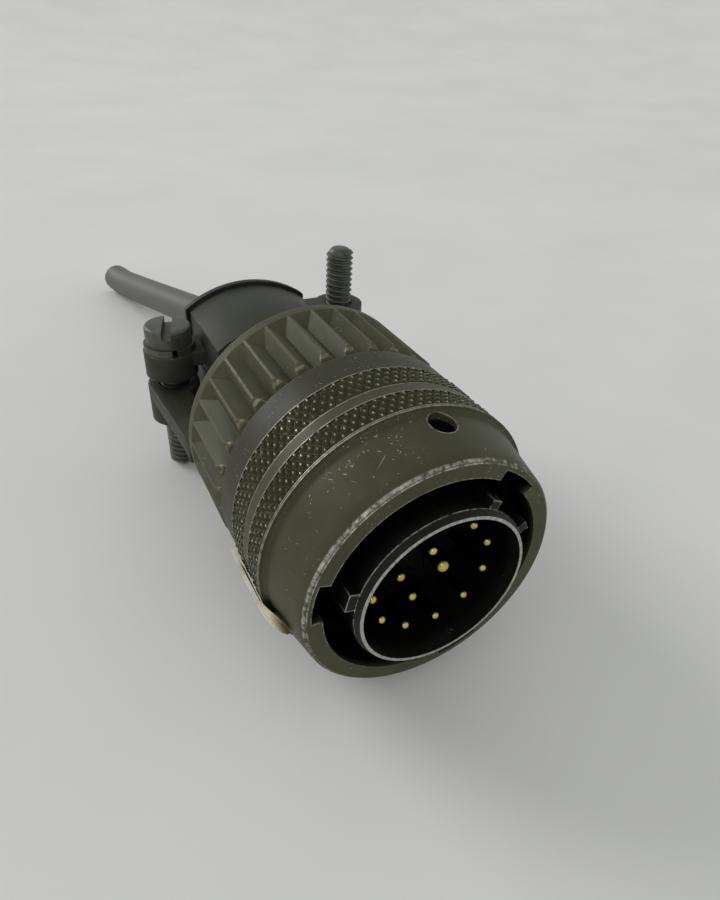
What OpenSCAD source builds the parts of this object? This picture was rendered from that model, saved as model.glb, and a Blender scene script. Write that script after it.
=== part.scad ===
/* [Plug shell] */
// Outer diameter of the barrel that enters the mating half
barrel_d = 18.1; // [17.6:0.1:18.4]
// Wall of the barrel in front of the insert
barrel_wall = 0.65; // [0.5:0.05:0.8]
// Depth from the front rim to the face of the insert
insert_depth = 8.2; // [6.5:0.1:8.6]
// Length of the chamfer behind the front rim
rim_chamfer = 0.7; // [0.3:0.1:1]
// Height of the flange that pulls the coupling ring forward, above the rear thread
flange_h = 1.6; // [1.4:0.05:1.8]
// Thickness of that flange
flange_t = 1.6; // [1.2:0.1:2]
// Height of the rear thread, also the journal of the coupling ring, above the barrel
thread_step = 0.48; // [0.4:0.02:0.6]
// Height of the keys above the barrel
key_h = 0.95; // [0.8:0.05:1.2]
// Width of the master key
master_key_w = 1.9; // [1.6:0.1:2.6]
// Width of each minor key
minor_key_w = 1; // [0.8:0.1:1.5]
// Clock angle of the master key, from the top towards +Y
master_key_clock = -77; // [-180:1:180]

/* [Coupling ring] */
// Distance of the ring's front face behind the barrel rim
ring_setback = 1.8; // [1.2:0.1:2.6]
// Overall length of the ring
ring_len = 18.4; // [18:0.1:19]
// Depth of the bayonet ramps in the ring's bore
ramp_depth = 1; // [0.8:0.05:1.2]
// Wall between the ramps and the outside at the front face
front_wall = 0.87; // [0.7:0.01:1.1]
// Rise of the smooth front part from the face to the cove
front_rise = 0.4; // [0.2:0.05:0.6]
// Height of the grip's plain front edge above the cove
grip_edge_h = 0.3; // [0.2:0.05:0.5]
// Width of the grip's plain front edge
grip_edge_w = 0.3; // [0.2:0.05:0.5]
// Depth of the ground of the knurled bands below the grip's edge
knurl_depth = 0.3; // [0.2:0.05:0.4]
// Length of the smooth front part up to the grip
ring_front_len = 6.5; // [6:0.1:7]
// Radius of the cove in front of the grip
cove_r = 1; // [0.6:0.1:1.1]
// Width of each knurled band
knurl_band_w = 3.3; // [2.6:0.1:3.4]
// Width of the plain band between the knurled bands
plain_band_w = 1.4; // [1:0.1:1.8]
// Depth of the plain bands below the grip's edge
band_step = 0.15; // [0.1:0.05:0.3]
// Thickness of the inner web that rides on the shell
web_t = 2.2; // [1.8:0.1:2.4]
// Width of the bayonet ramps
ramp_w = 2.9; // [2.4:0.1:3]
// Thickness of the front lip beside an entry notch
lip_t = 0.9; // [0.7:0.05:1.1]
// Turn from an entry notch to the end of its ramp
ramp_turn = 89; // [80:1:100]
// Distance that a ramp pulls the two halves together
ramp_lead = 2.6; // [2:0.1:2.7]
// Width of an entry notch, in degrees
notch_turn = 21; // [16:1:24]
// Clock angle of the first entry notch
notch_clock = 39; // [0:1:119]
// Diameter of the inspection hole at the end of each ramp
sight_hole_d = 2.7; // [2:0.1:2.8]
// Thickness of the paper tape on the ring
tape_t = 0.25; // [0.15:0.05:0.4]
// Part of the turn that the tape covers, in degrees
tape_turn = 20; // [16:1:60]
// Clock angle of the middle of the tape
tape_clock = -106; // [-150:1:-90]

/* [Ring spring] */
// Height of the wave washer at rest
wave_h = 1; // [0.8:0.05:1.2]
// Thickness of the wave washer's strip
wave_t = 0.3; // [0.2:0.05:0.4]
// Thickness of the flat thrust washer
thrust_t = 0.4; // [0.3:0.05:0.5]
// Thickness of the retaining ring
snap_t = 1; // [0.8:0.05:1.2]
// Depth of the retaining ring's groove
snap_groove = 0.6; // [0.4:0.05:0.7]
// Opening of the retaining ring, in degrees
snap_gap_turn = 40; // [20:1:60]

/* [Contacts] */
// Diameter of a signal pin
signal_pin_d = 1.02; // [0.9:0.01:1.1]
// Diameter of the power pin
power_pin_d = 1.57; // [1.4:0.01:1.7]
// Number of signal pins on the outer circle
outer_pins = 11; // [8:1:11]
// Distance of the outer circle from the barrel's bore
outer_pin_inset = 2.05; // [1.9:0.05:2.4]
// Clock angle of the first outer pin
outer_pin_clock = 5; // [-180:1:180]
// Radius of the power pin's place
power_pin_r = 1.4; // [1.2:0.05:2]
// Distance of the pin tips behind the barrel rim
tip_recess = 1.9; // [1.5:0.1:3]
// Diameter of a wire
wire_d = 0.8; // [0.6:0.05:0.85]

/* [Grip nut] */
// Length of the nut
nut_len = 12; // [11.5:0.1:13]
// Number of flutes
flutes = 33; // [24:1:36]
// Depth of a flute
flute_depth = 1.2; // [0.8:0.1:1.5]
// Width of the land on the ridge between two flutes
flute_land = 0.3; // [0.2:0.05:0.5]
// Length of the sloping rear end of a flute
flute_runout = 1.7; // [1:0.1:2]
// Length of the sloping front end of a ridge
ridge_slope = 1.3; // [1:0.1:1.6]
// Width of the plain rear rim
nut_rim_w = 1.6; // [1.2:0.1:2]
// Thickness of the nut's rear wall
nut_wall = 2; // [1.6:0.1:2.4]

/* [Cable clamp] */
// Bore of the clamp body for the wires
clamp_bore_d = 13; // [11:0.1:13.4]
// Distance of the clamp screws behind the nut
screw_setback = 17.5; // [16:0.1:19]
// Gap between a saddle's arch and the eye of an arm
eye_gap = 0.7; // [0.4:0.1:1.2]
// Thickness of the clamp body's arms
arm_t = 2.2; // [1.8:0.1:2.4]
// Distance of an arm's nearer face from the middle plane
arm_offset = 1.3; // [1.1:0.1:1.6]
// Width of an arm
arm_w = 4.6; // [4:0.1:5]
// Radius of the round ends of arms and ears
eye_r = 3.5; // [3.2:0.1:3.8]
// Length of a saddle along the cable
saddle_len = 13.4; // [12:0.1:14]
// Half width of a saddle's arch
saddle_half_w = 8.4; // [8:0.1:8.8]
// Height of a saddle's crown above the axis
saddle_top = 9.2; // [8.8:0.1:9.6]
// Radius of the crown
crown_r = 14.4; // [13:0.1:16]
// Top of the ear under the screw head
head_ear_top = 3.7; // [3.4:0.1:4]
// Thickness of the ear under the screw head
head_ear_t = 3.6; // [3.2:0.1:4]
// Top of the tapped ear
tapped_ear_top = 6.8; // [6:0.1:7.2]
// Thread diameter of the clamp screws
screw_d = 3.8; // [3.4:0.1:4]
// Length of the clamp screws under the head
screw_len = 19.6; // [18.4:0.1:19.6]
// Diameter of the screw heads
head_d = 6.1; // [5.6:0.1:6.4]
// Height of the screw heads
head_h = 2.5; // [2:0.1:2.8]
// Width of the screwdriver slot
slot_w = 1.2; // [0.8:0.1:1.4]
// Turn of the screwdriver slot in the head
slot_turn = 73; // [0:1:180]
// Depth of the screwdriver slot
slot_depth = 1.1; // [0.8:0.1:1.3]
// Outer diameter of the lock washers
lock_d = 6.7; // [6.4:0.1:6.9]
// Thickness of the lock washers
lock_t = 1; // [0.8:0.05:1.2]
// Outer diameter of the rubber bushing round the cable
bushing_d = 12.8; // [11:0.1:13.4]
// Distance that the bushing stands out behind the saddles
bushing_proud = 0.9; // [0.6:0.1:1.4]
// Height of the bushing's rear lip above the saddles
bushing_lip = 0.5; // [0.3:0.1:0.8]

/* [Cable] */
// Diameter of the cable's jacket
cable_d = 5.6; // [5:0.1:6.4]

/* [Clearances] */
// Gap round a turning or sliding fit
run_gap = 0.3; // [0.25:0.05:0.35]
// Gap between parts that are pressed or bonded together
seat_gap = 0.05; // [0.02:0.01:0.08]
// Gap of a clearance hole round its screw
screw_gap = 0.2; // [0.1:0.05:0.3]

/* [Hidden] */
$fn = 96;
small = 32;
past = 1;
minor_key_clocks = [105, 140, 215, 265];
power_pin_clock = 62;

// Each inner signal pin: radius as a share of the outer circle's, then clock angle
inner_pins = [[0.54, 354], [0.6, 291], [0.43, 225]];
ramps = 3;
insert_lip = 2;
insert_len = 8;
insert_shoulder = 0.25;
collar_h = 0.4;
collar_r = 1.2;
neck_share = 0.8;
shoulder_share = 1.4;
crimp_share = 1.2;
grommet_len = 6.8;
grommet_proud = 0.6;
ferrule_t = 2;
notch_clear = 0.1;
cavity_clear = 1;
neck_wall = 1.7;
collar_step = 1.4;
collar_t = 3;
saddle_shift = 2.1;
core_proud = 0.5;
ridge_slope_share = 0.7;
ear_web_share = 0.75;
broken_edge = 0.3;
tape_setback = 3.9;
tape_gap = 0.02;

// Places along the axis, from the barrel rim backwards
ring_front_x = -ring_setback;
ring_rear_x = ring_front_x - ring_len;
grip_x = ring_front_x - ring_front_len;
plain_band_x = grip_x - knurl_band_w;
rear_knurl_x = plain_band_x - plain_band_w;
mark_band_x = rear_knurl_x - knurl_band_w;
snap_rear_x = mark_band_x - snap_t - seat_gap;
web_rear_x = mark_band_x + seat_gap;
web_front_x = web_rear_x + web_t;
wave_rear_x = web_front_x + seat_gap + thrust_t;
flange_rear_x = wave_rear_x + wave_h;
flange_front_x = flange_rear_x + flange_t;
insert_front_x = -insert_depth;
insert_step_x = insert_front_x - insert_lip;
insert_rear_x = insert_front_x - insert_len;
grommet_rear_x = insert_rear_x - grommet_len;
shell_rear_x = grommet_rear_x + grommet_proud;
nut_front_x = ring_rear_x - run_gap;
nut_rear_x = nut_front_x - nut_len;
nut_wall_x = nut_rear_x + nut_wall;
ferrule_rear_x = grommet_rear_x - ferrule_t;
collar_front_x = nut_rear_x - run_gap;
screw_x = nut_rear_x - screw_setback;
saddle_rear_x = screw_x - saddle_len / 2 + saddle_shift;
saddle_front_x = saddle_rear_x + saddle_len;
cable_front_x = nut_wall_x;
cable_exit_x = saddle_rear_x - bushing_proud - core_proud;

// Radii that follow from the sizes above
barrel_r = barrel_d / 2;
barrel_bore_r = barrel_r - barrel_wall;
insert_bore_r = barrel_bore_r + insert_shoulder;
journal_r = barrel_r + thread_step;
flange_r = journal_r + flange_h;
web_bore_r = journal_r + run_gap;
lip_bore_r = flange_r + run_gap;
ramp_r = lip_bore_r + ramp_depth;
notch_r = ramp_r + notch_clear;
ring_front_r = ramp_r + front_wall;
ring_cove_r = ring_front_r + front_rise;
grip_r = ring_cove_r + cove_r + grip_edge_h;
snap_r = lip_bore_r - run_gap;
outer_pin_r = barrel_bore_r - outer_pin_inset;
nut_r = grip_r;
nut_thread_r = journal_r + seat_gap;
nut_cavity_r = journal_r + cavity_clear;
clamp_flange_r = nut_cavity_r - run_gap;
neck_r = clamp_bore_d / 2 + neck_wall;
neck_bore_r = neck_r + run_gap;
cable_r = cable_d / 2;
screw_r = screw_d / 2;
bushing_r = bushing_d / 2;
screw_y = saddle_half_w + eye_gap + eye_r;
outer_step = 360 / outer_pins;

// Route of the free cable, from its exit behind the clamp
tail_steps = [
    [0, 0, 0], [-4, -0.2, -0.3], [-9, -0.8, -1], [-16, -1.9, -2.4], [-25, -3.3, -4.3],
    [-34, -4.7, -6.2], [-43, -6.1, -8.1], [-52, -7.4, -10], [-59, -8.5, -11.4], [-65, -9.4, -12.1]];
tail_route = [for (step = tail_steps) step + [cable_exit_x, 0, 0]];
tail_sides = 12;

function clock_point(x, r, clock) = [x, r * sin(clock), r * cos(clock)];
function ring_faces(rings, sides) = concat(
    [[for (k = [0:sides - 1]) k]],
    [for (i = [0:rings - 2], k = [0:sides - 1])
        [i * sides + k, (i + 1) * sides + k,
         (i + 1) * sides + (k + 1) % sides, i * sides + (k + 1) % sides]],
    [[for (k = [sides - 1:-1:0]) (rings - 1) * sides + k]]);
function tube_points(route, r, sides) = [
    for (i = [0:len(route) - 1])
        let (last = len(route) - 1)
        let (ahead = route[min(i + 1, last)] - route[max(i - 1, 0)])
        let (along = i == 0 ? [-1, 0, 0] : ahead / norm(ahead))
        let (side = cross([0, 0, 1], along) / norm(cross([0, 0, 1], along)))
        let (up = cross(along, side))
        for (k = [0:sides - 1])
            let (a = k * 360 / sides)
            route[i] + r * (cos(a) * side + sin(a) * up)];
function pin_name(i) = str("contact_pin_", i + 1);
signal_places = concat(
    [for (i = [0:outer_pins - 1]) [outer_pin_r, outer_pin_clock + i * outer_step]],
    [for (pin = inner_pins) [outer_pin_r * pin[0], pin[1]]]);
power_place = [power_pin_r, power_pin_clock];
pin_places = concat(signal_places, [power_place]);

// Turns a shape drawn at the top of the part to a clock angle
module at_clock(clock) {
    rotate([-clock, 0, 0]) children();
}

// A body turned about the part's axis, from points of radius and x
module turned(profile) {
    rotate([0, 90, 0]) rotate_extrude() polygon(profile);
}

// A piece of a turned body, centred on the top
module turned_sector(profile, turn) {
    rotate([0, 90, 0]) rotate([0, 0, 180 - turn / 2]) rotate_extrude(angle = turn) polygon(profile);
}

// A plain cylinder along the axis between two places
module rod(front_x, rear_x, r) {
    translate([rear_x, 0, 0]) rotate([0, 90, 0]) cylinder(h = front_x - rear_x, r = r);
}

module at_pin(place) {
    translate([0, place[0] * sin(place[1]), place[0] * cos(place[1])]) children();
}

// One helical ramp, cut by a square tool that follows the bayonet stud
module ramp_cutter() {
    steps = 18;
    start_x = ring_front_x - lip_t - ramp_w / 2;
    start_clock = -notch_turn / 4;
    points = [for (i = [0:steps])
        let (share = i / steps)
        let (clock = start_clock + share * (ramp_turn - start_clock))
        let (x = start_x - ramp_lead * share)
        each [clock_point(x + ramp_w / 2, lip_bore_r - past, clock),
              clock_point(x - ramp_w / 2, lip_bore_r - past, clock),
              clock_point(x - ramp_w / 2, ramp_r, clock),
              clock_point(x + ramp_w / 2, ramp_r, clock)]];
    polyhedron(points, ring_faces(steps + 1, 4));
}

module coupling_ring() {
    plain_r = grip_r - band_step;
    knurl_r = grip_r - knurl_depth;
    hole_x = ring_front_x - lip_t - ramp_w / 2 - ramp_lead;
    color("#4a4b3c") difference() {
        turned([
            [lip_bore_r, ring_front_x], [ring_front_r - broken_edge, ring_front_x],
            [ring_front_r, ring_front_x - broken_edge],
            each [for (a = [0:15:90])
                [ring_cove_r + cove_r * (1 - cos(a)), grip_x + cove_r * (1 - sin(a))]],
            [grip_r, grip_x], [grip_r, grip_x - grip_edge_w],
            [knurl_r, grip_x - grip_edge_w], [knurl_r, plain_band_x],
            [plain_r, plain_band_x], [plain_r, rear_knurl_x],
            [knurl_r, rear_knurl_x], [knurl_r, mark_band_x],
            [plain_r, mark_band_x], [plain_r, ring_rear_x + broken_edge],
            [plain_r - broken_edge, ring_rear_x], [snap_r + run_gap, ring_rear_x],
            [snap_r + run_gap, web_rear_x], [web_bore_r, web_rear_x],
            [web_bore_r, web_front_x], [lip_bore_r, web_front_x]]);
        for (i = [0:ramps - 1]) at_clock(notch_clock + i * 360 / ramps) {
            turned_sector([
                [lip_bore_r - past, ring_front_x + past], [notch_r, ring_front_x + past],
                [notch_r, ring_front_x - ramp_w],
                [lip_bore_r - past, ring_front_x - ramp_w]], notch_turn);
            ramp_cutter();
            at_clock(ramp_turn) translate([hole_x, 0, lip_bore_r - past])
                cylinder(h = grip_r, d = sight_hole_d, $fn = small);
        }
    }
}

module paper_tape() {
    low = grip_r + tape_gap;
    front_r = ring_cove_r + tape_gap;
    front_x = ring_front_x - tape_setback;
    color("#d8cfae") at_clock(tape_clock) turned_sector([
        [front_r, front_x], [front_r + tape_t, front_x],
        [low + tape_t, grip_x + tape_t], [low + tape_t, mark_band_x + tape_t],
        [low, mark_band_x + tape_t], [low, grip_x + tape_t]], tape_turn);
}

module plug_shell() {
    lead = rim_chamfer / 2;
    color("#3c3d33") {
        turned([
            [barrel_bore_r, 0], [barrel_r - lead, 0], [barrel_r, -rim_chamfer],
            [barrel_r, flange_front_x], [flange_r, flange_front_x], [flange_r, flange_rear_x],
            [journal_r, flange_rear_x], [journal_r, mark_band_x],
            [journal_r - snap_groove, mark_band_x], [journal_r - snap_groove, snap_rear_x],
            [journal_r, snap_rear_x], [journal_r, shell_rear_x],
            [insert_bore_r, shell_rear_x], [insert_bore_r, insert_step_x],
            [barrel_bore_r, insert_step_x]]);
        key(master_key_clock, master_key_w);
        for (clock = minor_key_clocks) key(master_key_clock + clock, minor_key_w);
    }
}

// A straight key on the outside of the barrel
module key(clock, w) {
    sunk = (barrel_r - barrel_bore_r) / 2;
    at_clock(clock) translate([flange_front_x, -w / 2, barrel_r - sunk])
        cube([-flange_front_x - rim_chamfer, w, key_h + sunk]);
}

// A three-wave spring strip, swept round the journal
module wave_washer() {
    steps = 48;
    waves = 3;
    inner_r = journal_r + run_gap;
    outer_r = flange_r - run_gap;
    middle_x = (flange_rear_x + wave_rear_x) / 2;
    swing = (wave_h - wave_t) / 2 - seat_gap;
    points = [for (i = [0:steps - 1])
        let (clock = i * 360 / steps)
        let (x = middle_x + swing * cos(waves * clock))
        each [clock_point(x + wave_t / 2, inner_r, clock), clock_point(x + wave_t / 2, outer_r, clock),
              clock_point(x - wave_t / 2, outer_r, clock), clock_point(x - wave_t / 2, inner_r, clock)]];
    faces = [for (i = [0:steps - 1], k = [0:3])
        let (next = (i + 1) % steps)
        [i * 4 + k, next * 4 + k, next * 4 + (k + 1) % 4, i * 4 + (k + 1) % 4]];
    color("#b8b8b4") polyhedron(points, faces);
}

module thrust_washer() {
    front_x = wave_rear_x - seat_gap / 2;
    color("#c9c7bd") difference() {
        rod(front_x, front_x - thrust_t, flange_r - run_gap / 2);
        rod(front_x + past, front_x - thrust_t - past, web_bore_r);
    }
}

module retaining_ring() {
    front_x = mark_band_x - seat_gap / 2;
    root_r = journal_r - snap_groove + seat_gap;
    color("#8f8f8a") at_clock(180) turned_sector([
        [root_r, front_x], [snap_r, front_x],
        [snap_r, front_x - snap_t], [root_r, front_x - snap_t]], 360 - snap_gap_turn);
}

module pin_insert() {
    color("#141414") difference() {
        union() {
            rod(insert_front_x, insert_step_x - past, barrel_bore_r - seat_gap);
            rod(insert_step_x - seat_gap, insert_rear_x, insert_bore_r - seat_gap);
            for (place = pin_places) at_pin(place)
                rod(insert_front_x + collar_h, insert_front_x - past, collar_r);
        }
        for (place = signal_places) at_pin(place) pin_way(signal_pin_d / 2);
        at_pin(power_place) pin_way(power_pin_d / 2);
    }
}

// The stepped hole that holds a contact in the insert
module pin_way(pin_r) {
    rod(0, insert_rear_x - past, pin_r + seat_gap);
    rod(insert_step_x - past - past, insert_rear_x - past, pin_r * shoulder_share + seat_gap);
}

// A contact with a round tip, a shoulder and a crimp barrel
module contact(pin_r) {
    shoulder_x = insert_step_x - past - past - seat_gap;
    crimp_rear_x = grommet_rear_x + past;
    union() {
        translate([-tip_recess - pin_r, 0, 0]) sphere(r = pin_r, $fn = small);
        rod(-tip_recess - pin_r, insert_front_x + collar_h, pin_r);
        rod(insert_front_x + past, shoulder_x - past, pin_r * neck_share);
        rod(shoulder_x, insert_rear_x + seat_gap, pin_r * shoulder_share);
        rod(insert_rear_x + past, crimp_rear_x, pin_r * crimp_share);
    }
}

module contact_pin(i) {
    color("#c9a648") at_pin(signal_places[i]) contact(signal_pin_d / 2);
}

module power_pin() {
    color("#c9a648") at_pin(power_place) contact(power_pin_d / 2);
}

module wire_grommet() {
    front_x = insert_rear_x - seat_gap;
    color("#6d3a2a") difference() {
        rod(front_x, grommet_rear_x, insert_bore_r - seat_gap);
        for (place = signal_places) at_pin(place)
            rod(0, grommet_rear_x - past, signal_pin_d / 2 * crimp_share + seat_gap);
        at_pin(power_place) rod(0, grommet_rear_x - past, power_pin_d / 2 * crimp_share + seat_gap);
    }
}

module grommet_ferrule() {
    front_x = grommet_rear_x - seat_gap;
    color("#7c7c74") difference() {
        rod(front_x, ferrule_rear_x, nut_cavity_r - run_gap);
        rod(front_x + past, ferrule_rear_x - past, outer_pin_r + wire_d);
    }
}

// Wires that draw together from the contacts to the cable
module hookup_wires() {
    drawn_in = 0.34;
    sides = 8;
    front_x = grommet_rear_x + past - seat_gap;
    rear_x = cable_front_x + seat_gap;
    color("#8a8578") for (place = pin_places) {
        route = [
            clock_point(front_x, place[0], place[1]),
            clock_point(grommet_rear_x - past, place[0], place[1]),
            clock_point(rear_x + past, place[0] * drawn_in, place[1]),
            clock_point(rear_x, place[0] * drawn_in, place[1])];
        polyhedron(tube_points(route, wire_d / 2, sides), ring_faces(len(route), sides));
    }
}

// A V-shaped flute, open at the front, with a sloping end at the rear
module flute_cutter() {
    front_x = nut_front_x + past;
    rear_x = nut_rear_x + nut_rim_w;
    half_w = nut_r * sin(180 / flutes) - flute_land / 2;
    edge_z = nut_r * cos(180 / flutes);
    low = edge_z - flute_depth;
    clear = 0.1;
    wide = half_w * (1 + clear / flute_depth);
    spill = flute_runout * clear / flute_depth;
    top = edge_z + flute_depth;
    intersection() {
        translate([rear_x - past, 0, 0]) rotate([90, 0, 90])
            linear_extrude(front_x - rear_x + past) polygon([
                [0, low], [wide, edge_z + clear], [wide, top], [-wide, top], [-wide, edge_z + clear]]);
        translate([0, nut_r, 0]) rotate([90, 0, 0]) linear_extrude(2 * nut_r) polygon([
            [rear_x + flute_runout, low], [front_x + past, low], [front_x + past, top],
            [rear_x - spill, top], [rear_x - spill, edge_z + clear]]);
    }
}

module grip_nut() {
    color("#4f503f") difference() {
        turned([
            [nut_thread_r, nut_front_x], [nut_r - ridge_slope_share * flute_depth, nut_front_x],
            [nut_r, nut_front_x - ridge_slope], [nut_r, nut_rear_x + broken_edge],
            [nut_r - broken_edge, nut_rear_x], [neck_bore_r, nut_rear_x],
            [neck_bore_r, nut_wall_x], [nut_cavity_r, nut_wall_x],
            [nut_cavity_r, shell_rear_x - seat_gap], [nut_thread_r, shell_rear_x - seat_gap]]);
        for (i = [0:flutes - 1]) at_clock((i + 0.5) * 360 / flutes) flute_cutter();
    }
}

module clamp_body() {
    bore_r = clamp_bore_d / 2;
    color("#4c4d40") difference() {
        union() {
            rod(ferrule_rear_x - seat_gap, nut_wall_x + seat_gap, clamp_flange_r);
            rod(nut_wall_x + past, collar_front_x - past, neck_r);
            rod(collar_front_x, collar_front_x - collar_t, neck_r + collar_step);
            clamp_arm();
            rotate([180, 0, 0]) clamp_arm();
        }
        rod(0, collar_front_x - collar_t - past, bore_r);
        for (side = [-1, 1]) translate([screw_x, side * screw_y, -saddle_top])
            cylinder(h = 2 * saddle_top, r = screw_r + screw_gap, $fn = small);
    }
}

// The left arm: a strap from the collar to the eye of the left screw
module clamp_arm() {
    root_x = collar_front_x - collar_t;
    eye_side = -screw_y - eye_r;
    root_side = -nut_r;
    translate([0, 0, -arm_offset - arm_t]) linear_extrude(arm_t) {
        polygon([
            [screw_x, eye_side], [root_x, root_side],
            [root_x, root_side + arm_w], [screw_x, eye_side + arm_w]]);
        translate([screw_x, -screw_y]) circle(r = eye_r);
        translate([root_x, root_side]) square([collar_t, -root_side]);
    }
}

// The upper saddle: a crowned arch with a plain ear on the left and a tapped ear on the right
module saddle() {
    arm_high = arm_offset + arm_t;
    difference() {
        union() {
            translate([saddle_rear_x, 0, 0]) rotate([90, 0, 90])
                linear_extrude(saddle_len) saddle_section();
            ear(-1, head_ear_top - head_ear_t, head_ear_top);
            ear(1, arm_high + seat_gap, tapped_ear_top);
        }
        rod(0, saddle_rear_x - past, bushing_r + seat_gap);
        screw_hole(-1, screw_r + screw_gap);
        screw_hole(1, screw_r + seat_gap);
    }
}

// The arch's outline, in y and z, above the cable's middle plane
module saddle_section() {
    intersection() {
        translate([0, saddle_top - crown_r]) circle(r = crown_r);
        translate([-saddle_half_w, run_gap]) square([2 * saddle_half_w, saddle_top]);
    }
}

module ear(side, low, high) {
    plate = 2;
    web_half = ear_web_share * eye_r;
    translate([0, 0, low]) linear_extrude(high - low)
        translate([screw_x, side * screw_y]) circle(r = eye_r);
    translate([0, 0, high - plate]) linear_extrude(plate)
        translate([screw_x - web_half, side > 0 ? saddle_half_w - past : -screw_y])
            square([2 * web_half, screw_y - saddle_half_w + past]);
}

module screw_hole(side, r) {
    translate([screw_x, side * screw_y, -saddle_top]) cylinder(h = 2 * saddle_top, r = r, $fn = small);
}

module upper_saddle() {
    color("#56584f") saddle();
}

module lower_saddle() {
    color("#56584f") rotate([180, 0, 0]) saddle();
}

// A slotted cheese-head screw on the left side, pointing down
module clamp_screw() {
    head_low = head_ear_top + lock_t;
    tip = 0.6;
    translate([screw_x, -screw_y, head_low]) difference() {
        union() {
            cylinder(h = head_h, d = head_d, $fn = small);
            translate([0, 0, -screw_len + tip]) cylinder(h = screw_len, r = screw_r, $fn = small);
            translate([0, 0, -screw_len])
                cylinder(h = tip, r1 = screw_r - tip, r2 = screw_r, $fn = small);
        }
        rotate([0, 0, slot_turn]) translate([-slot_w / 2, -head_d, head_h - slot_depth])
            cube([slot_w, 2 * head_d, head_h]);
    }
}

// A split spring washer under the left screw head
module lock_washer() {
    slit = 0.8;
    translate([screw_x, -screw_y, head_ear_top]) difference() {
        cylinder(h = lock_t, d = lock_d, $fn = small);
        translate([0, 0, -past]) cylinder(h = lock_t + 2 * past, r = screw_r + screw_gap, $fn = small);
        translate([0, -slit / 2, -past]) cube([lock_d, slit, lock_t + 2 * past]);
    }
}

module left_screw() {
    color("#7b7c74") clamp_screw();
}

module right_screw() {
    color("#7b7c74") rotate([180, 0, 0]) clamp_screw();
}

module left_lock_washer() {
    color("#6b6c66") lock_washer();
}

module right_lock_washer() {
    color("#6b6c66") rotate([180, 0, 0]) lock_washer();
}

module cable_bushing() {
    color("#1c1c1c") difference() {
        union() {
            rod(saddle_front_x + bushing_proud, saddle_rear_x - bushing_proud, bushing_r);
            translate([saddle_rear_x - bushing_proud, 0, 0]) rotate([90, 0, 90])
                linear_extrude(bushing_proud - seat_gap) offset(r = bushing_lip) {
                    saddle_section();
                    mirror([0, 1]) saddle_section();
                    square([2 * (saddle_half_w - bushing_lip), 2 * bushing_lip], center = true);
                }
        }
        rod(0, saddle_rear_x - bushing_proud - past, cable_r + seat_gap);
    }
}

module cable_core() {
    color("#646461") rod(cable_front_x, cable_exit_x, cable_r);
}

// The free cable, a round tube along its route
module cable_tail() {
    color("#646461") polyhedron(
        tube_points(tail_route, cable_r, tail_sides), ring_faces(len(tail_route), tail_sides));
}

coupling_ring();
paper_tape();
plug_shell();
wave_washer();
thrust_washer();
retaining_ring();
pin_insert();
wire_grommet();
grommet_ferrule();
power_pin();
hookup_wires();
grip_nut();
clamp_body();
upper_saddle();
lower_saddle();
left_screw();
right_screw();
left_lock_washer();
right_lock_washer();
cable_bushing();
cable_core();
cable_tail();
for (i = [0:len(signal_places) - 1]) contact_pin(i);
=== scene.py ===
import math
import bmesh
import bpy
from mathutils import Matrix, Quaternion, Vector


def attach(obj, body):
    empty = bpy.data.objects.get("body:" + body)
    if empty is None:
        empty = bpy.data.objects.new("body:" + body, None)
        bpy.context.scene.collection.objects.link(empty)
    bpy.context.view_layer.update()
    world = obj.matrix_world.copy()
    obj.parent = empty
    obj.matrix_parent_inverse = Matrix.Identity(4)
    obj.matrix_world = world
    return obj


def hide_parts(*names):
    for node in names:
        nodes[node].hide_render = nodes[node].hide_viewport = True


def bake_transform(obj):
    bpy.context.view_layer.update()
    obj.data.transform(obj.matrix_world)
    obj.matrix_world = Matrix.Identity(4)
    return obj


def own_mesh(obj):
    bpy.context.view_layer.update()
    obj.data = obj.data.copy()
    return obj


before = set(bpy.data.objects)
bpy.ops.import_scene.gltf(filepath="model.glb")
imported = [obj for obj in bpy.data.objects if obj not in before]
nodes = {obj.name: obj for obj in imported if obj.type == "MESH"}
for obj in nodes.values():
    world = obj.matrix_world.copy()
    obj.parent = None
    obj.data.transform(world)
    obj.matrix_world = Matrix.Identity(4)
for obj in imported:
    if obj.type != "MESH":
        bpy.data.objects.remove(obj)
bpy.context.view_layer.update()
scene = bpy.context.scene
mm = 0.001
print("frame loaded:", len(nodes), "nodes")

# the camera stands close to the plug, in front of it and above its left side
cameraSet = {
    "placeMm": (31.51, -27.44, 44.26),
    "looksAlong": (-0.7131, 0.3973, -0.5776),
    "rollDeg": 3.78,
    "lensMm": 25.74,
    "nearMm": 1,
}


def makeCamera():
    data = bpy.data.cameras.new("camera")
    data.lens = cameraSet["lensMm"]
    data.clip_start = cameraSet["nearMm"] * mm
    camera = bpy.data.objects.new("camera", data)
    camera.location = Vector(cameraSet["placeMm"]) * mm
    camera.rotation_mode = "QUATERNION"
    level = Vector(cameraSet["looksAlong"]).to_track_quat("-Z", "Y")
    camera.rotation_quaternion = level @ Quaternion((0, 0, 1), math.radians(cameraSet["rollDeg"]))
    scene.collection.objects.link(camera)
    scene.camera = camera


makeCamera()
scene.view_settings.view_transform = "Standard"
print("camera placed")


def toLinear(hexColour):
    parts = [int(hexColour[i:i + 2], 16) / 255 for i in (1, 3, 5)]
    return [p / 12.92 if p <= 0.04045 else ((p + 0.055) / 1.055) ** 2.4 for p in parts] + [1]


def addNode(tree, kind, inputs, **settings):
    node = tree.nodes.new(kind)
    for key, value in settings.items():
        setattr(node, key, value)
    for key, value in inputs.items():
        if isinstance(value, bpy.types.NodeSocket):
            tree.links.new(value, node.inputs[key])
        else:
            node.inputs[key].default_value = value
    return node


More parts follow.
